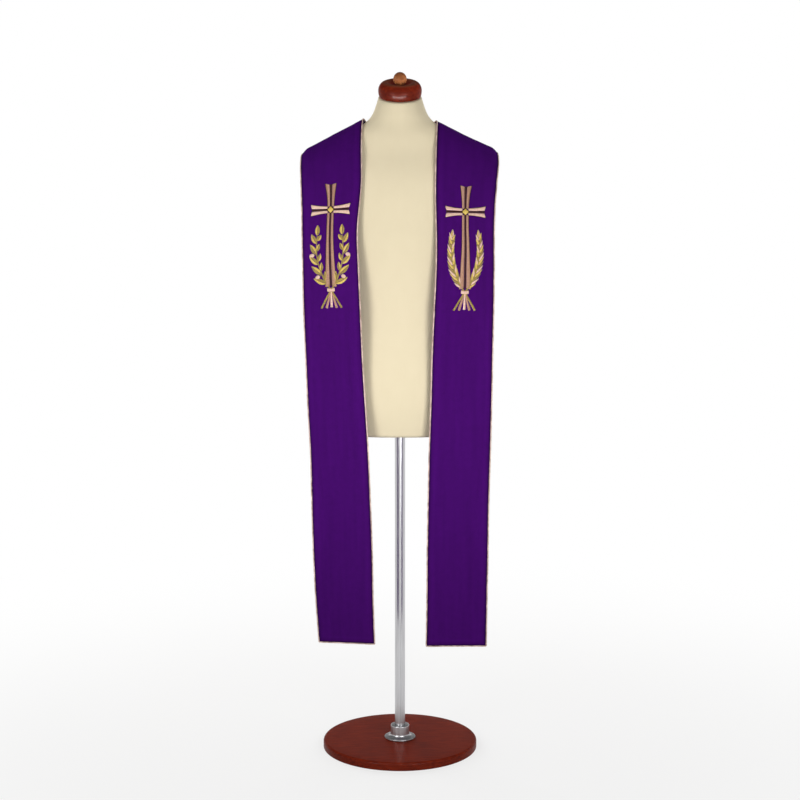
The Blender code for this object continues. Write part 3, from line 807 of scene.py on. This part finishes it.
def cross():
    # a flared cross, with two lozenges where its arms meet
    centre = (0, crossPlan["centre"])
    found = []
    lengths = {90: crossPlan["top"] - centre[1], 0: crossPlan["arm"], 180: crossPlan["arm"],
               -90: centre[1] - crossPlan["foot"]}
    for angle, length in lengths.items():
        flared = crossPlan["shaftFlare"] if angle < 0 else crossPlan["flared"]
        # painted light: the upright arms in deep gold and the side arms in pale gold stand for the sheen
        # that satin stitch shows by which way it runs
        colour = "deep" if angle in (90, -90) else "pale"
        for part in crossArm(length, crossPlan["narrow"] * 0.9, flared, colour):
            found.append(placed(part, math.radians(angle), centre))
    for side, colour, crown in crossPlan["lozenges"]:
        corner = side / math.sqrt(2)
        upper = np.array([(-corner, 0), (0, corner), (corner, 0)])
        found.append(placed((colour, satin(upper, upper * (1, -1), crown)), 0, centre))
    return found


def leaf(root, heading, length, width, colours, curl=0.0, crown=0.9):
    # a pointed leaf: two halves of slanting stitches that meet at the midrib
    share = np.linspace(0, 1, 24)
    bend = heading + curl * share
    steps = np.stack((np.cos(bend), np.sin(bend)), axis=1) * length / len(share)
    rib = np.asarray(root) + np.cumsum(steps, axis=0)
    half = width / 2 * np.sin(math.pi * share**0.8) ** 0.85 + stitching["pointHalf"]
    ribLine = resample(rib, share * stitching["slant"])
    return [(colours[0], satin(offsetLine(rib, half), ribLine, crown)),
            (colours[1], satin(ribLine, offsetLine(rib, -half), crown * 0.9))]


def berry(centre, radius, colour, heading):
    # an oval of stitches, a little longer than it is wide
    turn = np.radians(np.linspace(0, 180, 16))
    upper = np.stack((radius * 1.25 * np.cos(turn), radius * np.sin(turn)), axis=1)
    return placed((colour, satin(upper, upper * (1, -1), olivePlan["rise"]["olive"])), heading, centre)


stemPlan = {                      # in mm; each spray starts low on one side and rises on the other
    "line": ((26, -2), (13, 20), (0, 40), (-16, 64), (-29, 96), (-35, 132), (-33, 168)),
    "width": (5.6, 2.2),          # at the foot, at the tip
    "thread": 1.3,                # the finest line of stitches
    "knot": 40,                   # where the two stems cross
    "bandHalf": (9.5, 4.4),       # the band that ties them: half its length, half its height
    "stalks": ((-13, "deep"), (0, "pale"), (13, "deep")),      # where their feet are, and their thread
    "stalkHalf": (1.7, 3.6),      # half a stalk's width, at the band and at its foot
    "rise": {"under": 1.2, "over": 1.9, "stalk": 1.0, "band": 2.9, "edge": 1.5},
}
olivePlan = {                     # an olive branch: long leaves, with olives between them
    "pairs": 5,
    "reach": (0.37, 0.53),        # how far up the stem the lowest pair is, and how much further the last
    "length": (36, 27),           # lowest, highest
    "width": 13.0,
    "angle": 42,                  # between leaf and stem, and this much less in every other pair
    "closer": 6,
    "curl": 0.35,                 # how far a leaf bends back, as a share of its angle
    "inner": (0.66, 0.8),         # length and width of an inner leaf, as shares
    "innerUp": 7,                 # and how far up the stem it is moved
    "olives": (1, 3),             # the pairs that have one
    "oliveOut": 13,
    "oliveAngle": 96,
    "oliveRadius": 5.0,
    "rise": {"olive": 1.5, "stalk": 0.6},
    "tip": (0.95, 1),             # length and width of the leaf at the tip, as shares
    "tipColours": ("yellow", "olive"),
}
palmPlan = {                      # a palm frond: close, narrow leaflets both sides of a long rib
    "pairs": 13,
    "reach": (0.34, 0.63),
    "length": (31, 19),
    "width": 5.4,
    "angle": 34,
    "curl": 0.3,
    "lowest": (0.72, 0.12),       # the first pair's share of its length, and what each next pair gains
    "inner": 0.78,
    "rise": 0.8,
    "tip": (1, 1.3),
    "tipColours": ("yellow", "pale"),
}


def stemPoint(stem, share):
    # a point on the stem, and which way it runs
    here, ahead = resample(stem, [share])[0], resample(stem, [min(1, share + 0.01)])[0]
    behind = resample(stem, [max(0, share - 0.01)])[0]
    return here, math.atan2(*(ahead - behind)[::-1])


def olivePair(pair, root, heading, length, side):
    # two long leaves, with an olive beside some of them
    found = []
    for way in (1, -1):
        turn = way * math.radians(olivePlan["angle"] - olivePlan["closer"] * (pair % 2))
        inner = way * side < 0
        shorter, narrower = olivePlan["inner"] if inner else (1, 1)
        colours = ("yellow", "olive") if (pair + (way > 0)) % 2 else ("olive", "yellow")
        found += leaf(root + olivePlan["innerUp"] * inner * aimed(heading), heading + turn,
                      length * shorter, olivePlan["width"] * narrower, colours,
                      curl=-olivePlan["curl"] * turn)
    if pair in olivePlan["olives"]:
        out = heading + side * math.radians(olivePlan["oliveAngle"])
        centre = root + olivePlan["oliveOut"] * aimed(out)
        stalk = np.array([root, (root + centre) / 2, centre])
        found.append(("olive", column(stalk, stemPlan["thread"] / 2, olivePlan["rise"]["stalk"])))
        found.append(berry(centre, olivePlan["oliveRadius"], "pale", out))
    return found


def palmPair(pair, root, heading, length, side):
    # two narrow leaflets, shorter in the lowest pairs
    found = []
    first, gain = palmPlan["lowest"]
    length *= min(1, first + gain * pair)
    for way in (1, -1):
        turn = way * math.radians(palmPlan["angle"])
        reach = length * (palmPlan["inner"] if way * side < 0 else 1)
        colour = ("yellow", "pale", "olive")[(pair + (way > 0)) % 3]
        run = np.stack([root + reach * k * aimed(heading + turn - palmPlan["curl"] * turn * k)
                        for k in np.linspace(0.02, 1, 14)])
        half = palmPlan["width"] / 2 * np.sin(math.pi * np.linspace(0.12, 1, 14) ** 0.7) ** 0.8
        found.append((colour, column(run, half + 0.12, palmPlan["rise"])))
    return found


def spray(side, plan, makePair):
    # a stem, thickest at its cut foot, with leaves in pairs and one at its tip; side is where it rises
    stem = smoothLine(np.array(stemPlan["line"]) * (side, 1))
    half = np.linspace(*stemPlan["width"], len(stem)) / 2
    rise = stemPlan["rise"]["under" if side > 0 else "over"]        # one stem lies over the other
    found = [("olive", column(stem, half, rise))]
    low, over = plan["reach"]
    long, short = plan["length"]
    pairs = plan["pairs"]
    for pair in range(pairs):
        root, heading = stemPoint(stem, low + over * pair / (pairs - 1))
        found += makePair(pair, root, heading, long + (short - long) * pair / (pairs - 1), side)
    tip, heading = stemPoint(stem, 1)
    share, wider = plan["tip"]
    return found + leaf(tip, heading, short * share, plan["width"] * wider, plan["tipColours"])


def knot():
    # the band that ties the two stems where they cross, and the cut stalks that fan out below it
    height, rise = stemPlan["knot"], stemPlan["rise"]
    found = []
    for foot, colour in stemPlan["stalks"]:
        stalk = smoothLine([(foot * 0.15, height + 3), (foot * 0.45, height * 0.55),
                            (foot, -0.14 * abs(foot))])
        half = np.linspace(*stemPlan["stalkHalf"], len(stalk))
        found.append((colour, column(stalk, half, rise["stalk"])))
    halfLength, halfHeight = stemPlan["bandHalf"]
    ends = np.linspace(-halfLength, halfLength, 12)
    upper, lower = (np.stack((ends, height + side * halfHeight + 0.012 * ends**2), axis=1)
                    for side in (1, -1))
    found.append(("pale", satin(upper, lower, rise["band"])))
    for line in (upper, lower):
        found.append(("brown", column(line, stemPlan["thread"] / 2, rise["edge"])))
    return found


def embroider(name, band, design, footHeight):
    # one piece for each thread, on the middle of the band
    start, middle = heightOnBand(band, footHeight), band["width"] / 2
    made = []
    for colour, material in threads.items():
        points, faces, places, count = [], [], [], 0
        for rows in (part for shade, part in design if shade == colour):
            x, s, lift = np.moveaxis(rows / 1000, 2, 0)
            stitched = onBand(band, start + s, middle + x * band["side"], lift)[0]
            index = count + np.arange(stitched[..., 0].size).reshape(stitched.shape[:2])
            faces += tube(index)
            points.append(stitched.reshape(-1, 3))
            along = np.cumsum(np.linalg.norm(np.diff(rows[:, :, :2], axis=1, prepend=rows[:, :1, :2]),
                                             axis=2), axis=1)
            thread = np.broadcast_to(np.arange(len(rows))[:, None] / 2 + count, along.shape)
            places.append(np.stack((thread, along), axis=-1).reshape(-1, 2))
            count += index.size
        piece = newPiece(name + colour.capitalize(), np.concatenate(points), faces, material,
                         flatMap=np.concatenate(places), mapName="alongThread")
        turnOut(piece)
        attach(piece, "root")
        made.append(piece)
    return made


def turnOut(piece):
    # faces of closed shapes all pointing out
    work = bmesh.new()
    work.from_mesh(piece.data)
    bmesh.ops.recalc_face_normals(work, faces=work.faces)
    work.to_mesh(piece.data)
    work.free()


print("embroidery")
tied = knot()
olives = spray(-1, olivePlan, olivePair) + spray(1, olivePlan, olivePair)
palms = spray(-1, palmPlan, palmPair) + spray(1, palmPlan, palmPair)
rightStitches = embroider("embroideryRight", rightBand, cross() + olives + tied, stitching["rightFoot"])
leftStitches = embroider("embroideryLeft", leftBand, cross() + palms + tied, stitching["leftFoot"])


# the dress form: a stuffed torso under tight jersey

formMake = {
    "inset": 0.0010,              # the jersey lies this far inside the solid, clear of the cloth
    "rings": 120,
    "around": 112,
    "finer": 2,                   # the shown mesh has this many rings for each one measured
    "neckBase": 1.488,            # above this the rings tilt forward
    "neckTop": 1.590,
    "tilt": math.radians(17),
    "topMiddle": -0.006,          # y of the middle of the neck's top
    "bottomRounding": 0.009,
    "seamDepth": 0.0005,          # the side seams
    "seamWidth": 0.0022,
    "seamLines": (-0.0144, -0.0072, -0.003, 0, 0.003, 0.0072, 0.0144),     # extra ones there, radians
    "socket": 0.0130,             # radius of the hole that the pole goes up
    "socketDepth": 0.060,
    "girth": 1.08,                # the cover's width in its flat cut
    "far": 0.5,                   # where rays start, clear of the form
    "smoothing": 3,               # rounds of smoothing, each way
    "topInset": 0.0015,           # the highest ring that is measured, below the neck's top
}


def formPlane(height):
    # the middle and the tilt of the form's ring at this height
    share = smoothStep(formMake["neckBase"], formMake["neckTop"], height)
    return np.array((0, formMake["topMiddle"] * share, height)), formMake["tilt"] * share


def outwardAt(angle, tilt):
    # which way is outward at this angle round a tilted ring
    return np.array((np.cos(angle), np.sin(angle) * math.cos(tilt), np.sin(angle) * math.sin(tilt)))


def makeForm():
    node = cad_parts["form_body"]
    tree = BVHTree.FromPolygons([tuple(end.co) for end in node.data.vertices],
                                [tuple(face.vertices) for face in node.data.polygons])
    low, rounding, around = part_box("form_body")[0], formMake["bottomRounding"], formMake["around"]
    heights = np.linspace(low.z + rounding, formMake["neckTop"] - formMake["topInset"],
                          formMake["rings"])
    reach, far, rounds = np.empty((len(heights), around)), formMake["far"], formMake["smoothing"]
    for row, height in enumerate(heights):
        centre, tilt = formPlane(height)
        for step in range(around):
            aim = outwardAt(2 * math.pi * step / around, tilt)
            found = tree.ray_cast(Vector(centre + aim * far), Vector(-aim), far)[0]
            reach[row, step] = np.linalg.norm(np.array(found) - centre)
    reach = softened(reach, 0, rounds)
    reach = softened(np.concatenate((reach[:, -6:], reach, reach[:, :6]), axis=1), 1, rounds)[:, 3:-3]
    reach = runOn(reach)[..., None]

    nearSeam = np.array(formMake["seamLines"])
    even = 2 * math.pi * np.arange(around) / around
    clear = np.abs((even + math.pi / 2) % math.pi - math.pi / 2) > 0.02
    angles = np.sort(np.concatenate((even[clear], nearSeam % (2 * math.pi), nearSeam + math.pi)))
    rows = np.linspace(0, len(heights) - 1, (len(heights) - 1) * formMake["finer"] + 1)
    fine = readGrid(reach, *np.meshgrid(rows, angles / (2 * math.pi) * around, indexing="ij"))[..., 0]
    fromSeam = np.abs((angles + math.pi / 2) % math.pi - math.pi / 2) * fine
    fine -= formMake["inset"] + formMake["seamDepth"] * np.exp(-(2 * fromSeam / formMake["seamWidth"]) ** 2)
    rings, places = [], []

    def addRing(centre, tilt, distances, up):
        rings.append(centre + outwardAt(angles, tilt).T * np.broadcast_to(distances, angles.shape)[:, None])
        across = angles / (2 * math.pi) * formMake["girth"]
        places.append(np.stack((across, np.full(len(angles), up)), axis=1))

    # down the socket, out across the underside, round its edge, up the form and in at the neck's top
    base, socket = fine[0] - rounding, formMake["socket"]
    for height in (formMake["socketDepth"], formMake["socketDepth"] / 2, 0.0015):
        addRing(np.array((0, 0, low.z + height)), 0, socket, 0.6 - height)
    for share in (0.012, 0.2, 0.4, 0.6, 0.8, 1):
        addRing(np.array((0, 0, low.z + 0.0004)), 0, socket + (base - socket) * share, 0.6 + 0.15 * share)
    for turn in np.radians((25, 45, 65, 80)):
        addRing(np.array((0, 0, heights[0] - (rounding - 0.0004) * math.cos(turn))), 0,
                base + rounding * math.sin(turn), heights[0] - rounding * math.cos(turn))
    for row, distances in zip(rows, fine):
        height = float(np.interp(row, np.arange(len(heights)), heights))
        addRing(*formPlane(height), distances, height)
    centre, tilt = formPlane(formMake["neckTop"] - 0.0003)
    addRing(centre, tilt, fine[-1] - 0.0030, formMake["neckTop"])
    index = np.arange(len(rings) * len(angles)).reshape(len(rings), len(angles))
    return newPiece("formBody", np.array(rings), tube(index), jersey, flatMap=np.array(places))


print("dress form")
formBody = makeForm()
standsFor(formBody, "form_body")


# turned pieces: cap, knob, foot, collar and pole

def turned(name, profile, material, hollow=False, place=(0, 0, 0), tilt=0.0, steps=112):
    # a profile of (radius, height), bottom to top, turned round its axis; a hollow one is a closed ring
    turn = np.arange(steps) * 2 * math.pi / steps
    body = np.array(profile if hollow else profile[1:-1], float)
    points = np.stack((body[:, :1] * np.cos(turn), body[:, :1] * np.sin(turn),
                       np.repeat(body[:, 1:], steps, axis=1)), axis=-1).reshape(-1, 3)
    index = np.arange(len(points)).reshape(len(body), steps)
    if hollow:
        faces = quads(np.concatenate((index, index[:1])), wrap=True)
    else:
        faces = quads(index, wrap=True)
        bottom, top = len(points), len(points) + 1
        points = np.concatenate((points, [(0, 0, profile[0][1]), (0, 0, profile[-1][1])]))
        faces += [(bottom, b, a) for a, b in zip(index[0], np.roll(index[0], -1))]
        faces += [(a, b, top) for a, b in zip(index[-1], np.roll(index[-1], -1))]
    y, z = points[:, 1].copy(), points[:, 2].copy()
    points[:, 1] = y * math.cos(tilt) - z * math.sin(tilt)
    points[:, 2] = y * math.sin(tilt) + z * math.cos(tilt)
    piece = newPiece(name, points + np.array(place), [tuple(map(int, face)) for face in faces], material)
    piece.data.set_sharp_from_angle(angle=math.radians(38))
    return piece


def arcLine(centre, radius, start, end, count):
    # points of an arc in the profile's plane, by angles in degrees from the outward radius; an oval one
    # has a radius across and one up
    across, up = np.broadcast_to(radius, 2)
    return [(centre[0] + across * math.cos(a), centre[1] + up * math.sin(a))
            for a in np.radians(np.linspace(start, end, count))]


capMake = {
    "seat": (0, -0.006, 1.591),   # middle of the neck's top
    "tilt": math.radians(17),     # leans to the front
    "radius": 0.0515,
    "bottom": 0.0470,             # radius of the underside
    "widest": 0.0152,             # how high the widest ring is
    "crest": 0.0350,              # where the round rim turns in to the dished top
    "crestHeight": 0.0358,
    "dish": 0.0274,               # the height and the radius of the dish's flat middle
    "dishFloor": 0.0100,
}
knobMake = {
    "stands": 0.0262,             # its underside, up the cap's axis
    "foot": 0.0080, "footHeight": 0.0026,
    "radius": 0.0158, "rise": 0.0166,       # a ball a little taller than it is wide
    "centre": 0.0165,
}
standMake = {
    "radius": 0.190, "thickness": 0.020, "edge": 0.006, "lowerEdge": 0.0012,
    "pole": 0.0125, "poleBottom": 0.0103, "poleTop": 0.846,
    "collar": 0.0230, "collarHeight": 0.034, "collarEdge": 0.003, "fillet": 0.008,
    "flange": 0.038, "flangeThickness": 0.004, "gap": 0.0003,
    "flangeEdge": 0.0012, "boreEdge": 0.0008, "poleEdge": 0.001,
}


def alongTilt(distance):
    # a place on the cap's leaning axis
    x, y, z = capMake["seat"]
    return (x, y - distance * math.sin(capMake["tilt"]), z + distance * math.cos(capMake["tilt"]))


def makeCap():
    c = capMake
    lower = arcLine((c["bottom"], c["widest"]), (c["radius"] - c["bottom"], c["widest"]), -90, 0, 12)
    upper = arcLine((c["crest"], c["widest"]), (c["radius"] - c["crest"], c["crestHeight"] - c["widest"]),
                    2, 90, 24)
    dish = [(c["dishFloor"] + (c["crest"] - c["dishFloor"]) * k,
             c["dish"] + (c["crestHeight"] - c["dish"]) * float(smoothStep(0, 1, k)))
            for k in np.linspace(0.96, 0, 26)]
    profile = [(0, 0), (c["bottom"] * 0.6, 0)] + lower + upper + dish + [(0, c["dish"])]
    return turned("neckCap", profile, mahogany, place=alongTilt(0.0003), tilt=c["tilt"], steps=144)


def makeKnob():
    k = knobMake
    ball = arcLine((0, k["centre"]), (k["radius"], k["rise"]), -56, 88, 38)
    foot = [(0, 0), (k["foot"] * 0.9, 0), (k["foot"], 0.0002), (k["foot"], k["footHeight"])]
    return turned("capKnob", foot + ball + [(0, k["centre"] + k["rise"])], knobWood,
                  place=alongTilt(k["stands"]), tilt=capMake["tilt"], steps=96)


def makeFoot():
    f = standMake
    low = arcLine((f["radius"] - f["lowerEdge"], f["lowerEdge"]), f["lowerEdge"], -90, 0, 5)
    high = arcLine((f["radius"] - f["edge"], f["thickness"] - f["edge"]), f["edge"], 0, 90, 12)
    inner = [(radius, f["thickness"]) for radius in (0.15, 0.09, 0.04)]     # rings on the flat top
    return turned("standFoot", [(0, 0), (0.12, 0)] + low + high + inner + [(0, f["thickness"])],
                  mahogany, steps=192)


def makeCollar():
    f = standMake
    base, bore = f["thickness"] + f["gap"], f["pole"] + f["gap"]
    step, top, edge = base + f["flangeThickness"], base + f["collarHeight"], f["flangeEdge"]
    flange = arcLine((f["flange"] - edge, base + edge), edge, -90, 0, 4)
    flange += arcLine((f["flange"] - edge, step - edge), edge, 0, 90, 4)
    fillet = arcLine((f["collar"] + f["fillet"], step + f["fillet"]), f["fillet"], -90, -180, 9)
    rim = arcLine((f["collar"] - f["collarEdge"], top - f["collarEdge"]), f["collarEdge"], 0, 90, 8)
    profile = [(bore, base)] + flange + fillet + rim
    profile += [(bore + f["boreEdge"], top), (bore, top - f["boreEdge"])]
    return turned("poleCollar", profile, steel, hollow=True, steps=128)


def makePole():
    f = standMake
    r, bottom, top, edge = f["pole"], f["poleBottom"], f["poleTop"], f["poleEdge"]
    side = [(r, height) for height in np.linspace(bottom + edge, top - edge, 40)]
    profile = [(0, bottom), (r - edge, bottom)] + side + [(r - edge, top), (0, top)]
    return turned("poleTube", profile, steel, steps=64)


print("turned pieces")
# the cap's top is painted browner, a painted sheen of light reflected in its varnish
mahogany = woodMaterial("mahoganyTurnedVarnished", "#4C120A", "#7E2812", 5, "#5C3824", 0.0325, 0.0352,
                        0.6)
# the knob's crown is painted darker, a painted shade, and its pale tan is partly a painted light on its
# lower half
knobWood = woodMaterial("beechTurnedStained", "#8E4C24", "#CE8656", 4, "#3E1A0E", 0.0430, 0.0600, 0.8)
steel = steelMaterial()
standsFor(makeCap(), "neck_cap")
standsFor(makeKnob(), "cap_knob")
standsFor(makeFoot(), "stand_foot")
standsFor(makeCollar(), "pole_collar")
standsFor(makePole(), "pole")


# floor, light and camera

studio = {
    "floor": "#EFEEEC",
    "backdrop": "#FFFFFF",
    "floorFades": (0.2, 2.2),     # metres from the middle over which the floor goes into the backdrop
    "floorGlow": 0.72,            # how far it is there already at the middle
    "ceiling": "#727272",
    "underFloor": "#545454",      # what the floor throws back on to the object
    "size": 120,                  # half the floor's width, in metres
    "varnished": ("neckCap", "capKnob", "standFoot"),          # all that the strip light shows in
}
lamps = {                         # the keys are narrow, so that they fall off towards hems and shoulders
    "keyLeft": dict(place=(-1.15, -1.45, 1.04), aim=(0, -0.1, 0.98), size=(0.7, 0.9), watts=4.9, spread=84),
    "keyRight": dict(place=(0.75, -1.60, 0.98), aim=(0, -0.1, 0.98), size=(0.7, 0.9), watts=5.1, spread=84),
    "top": dict(place=(0, 0.25, 3.1), aim=(0, 0, 1.4), size=(1.2, 0.9), watts=9, gleam=False),
    "backLeft": dict(place=(-1.9, 2.7, 1.5), aim=(0, 0, 1.1), size=(1.4, 1.9), watts=68, gleam=False),
    "backRight": dict(place=(2.0, 2.6, 1.3), aim=(0, 0, 1.1), size=(1.4, 1.9), watts=48, gleam=False),
    "strip": dict(place=(-0.12, -1.0, 0.76), aim=(0, 0, 1.6), size=(1.7, 0.24), watts=78),
}


def makeFloor():
    # matt paper, seamless: its far part is as white as the backdrop
    material, add, shader = newMaterial("studioPaperMatt", Roughness=0.85, Specular_IOR_Level=0.2)
    place = add("TexCoord", {}, "Object")
    distance = add("VectorMath", {0: place}, "Value", operation="LENGTH")
    grain = add("TexNoise", {"Vector": place, "Scale": 300})
    colour = add("ValToRGB", {"Fac": grain}, stops=((0.3, "#ECEBE9"), (0.7, studio["floor"])))
    feed(shader, {"Base Color": colour})
    near, far = studio["floorFades"]
    fade = add("MapRange", {"Value": distance, "From Min": near, "From Max": far,
                            "To Min": studio["floorGlow"]}, interpolation_type="SMOOTHSTEP")
    glow = add("Emission", {"Color": linear(studio["backdrop"])})
    mix = add("MixShader", {0: fade, 1: shader.outputs["BSDF"], 2: glow})
    feed(material.node_tree.nodes["Material Output"], {"Surface": mix})
    corners = np.array(((-1, -1, 0), (1, -1, 0), (1, 1, 0), (-1, 1, 0))) * studio["size"]
    floor = newPiece("floor", corners, [(0, 1, 2, 3)], material)
    floor.visible_diffuse = False       # so that white paper does not flatten the light from below


def makeRoom():
    # white all round at eye level, dimmer overhead and below
    world = bpy.data.worlds.new("whiteStudio")
    bpy.context.scene.world = world
    world.use_nodes = True
    tree = world.node_tree
    add = partial(addNode, tree)
    place = add("TexCoord", {}, "Generated")
    up = add("SeparateXYZ", {"Vector": place}, "Z")
    rise = add("MapRange", {"Value": up, "From Min": -0.5, "From Max": 0.5})
    shade = add("ValToRGB", {"Fac": rise}, stops=(
        (0.36, studio["underFloor"]), (0.46, studio["backdrop"]), (0.63, studio["backdrop"]),
        (0.78, studio["ceiling"])))
    feed(tree.nodes["Background"], {"Color": shade})


def makeLight(name, place, aim, size, watts, spread=180, gleam=True):
    # a soft box; spread is in degrees, and one without gleam makes no highlights
    light = bpy.data.lights.new(name, "AREA")
    light.shape, light.size, light.size_y = "RECTANGLE", size[0], size[1]
    light.energy, light.spread = watts, math.radians(spread)
    lamp = bpy.data.objects.new(name, light)
    lamp.location = place
    lamp.rotation_euler = (Vector(aim) - Vector(place)).to_track_quat("-Z", "Y").to_euler()
    lamp.visible_camera = False
    lamp.visible_glossy = gleam
    bpy.context.scene.collection.objects.link(lamp)
    return lamp


view = {
    "place": (0, -4.2, 1.45),
    "pitch": math.radians(7.9),   # downward
    "focal": 1750 / 800,          # focal length over the sensor's width
    "sensor": 36,
}


def makeCamera():
    data = bpy.data.cameras.new("camera")
    data.sensor_width = view["sensor"]
    data.lens = view["focal"] * view["sensor"]
    camera = bpy.data.objects.new("camera", data)
    camera.location = view["place"]
    camera.rotation_euler = (math.pi / 2 - view["pitch"], 0, 0)
    bpy.context.scene.collection.objects.link(camera)
    bpy.context.scene.camera = camera


print("studio")
makeFloor()
makeRoom()
lit = {name: makeLight(name, **lamp) for name, lamp in lamps.items()}
lit["strip"].visible_diffuse = False
varnished = bpy.data.collections.new("varnished")
for name in studio["varnished"]:
    varnished.objects.link(bpy.data.objects[name])
lit["strip"].light_linking.receiver_collection = varnished
makeCamera()
bpy.context.scene.view_settings.view_transform = "Standard"     # colours come out as they were picked
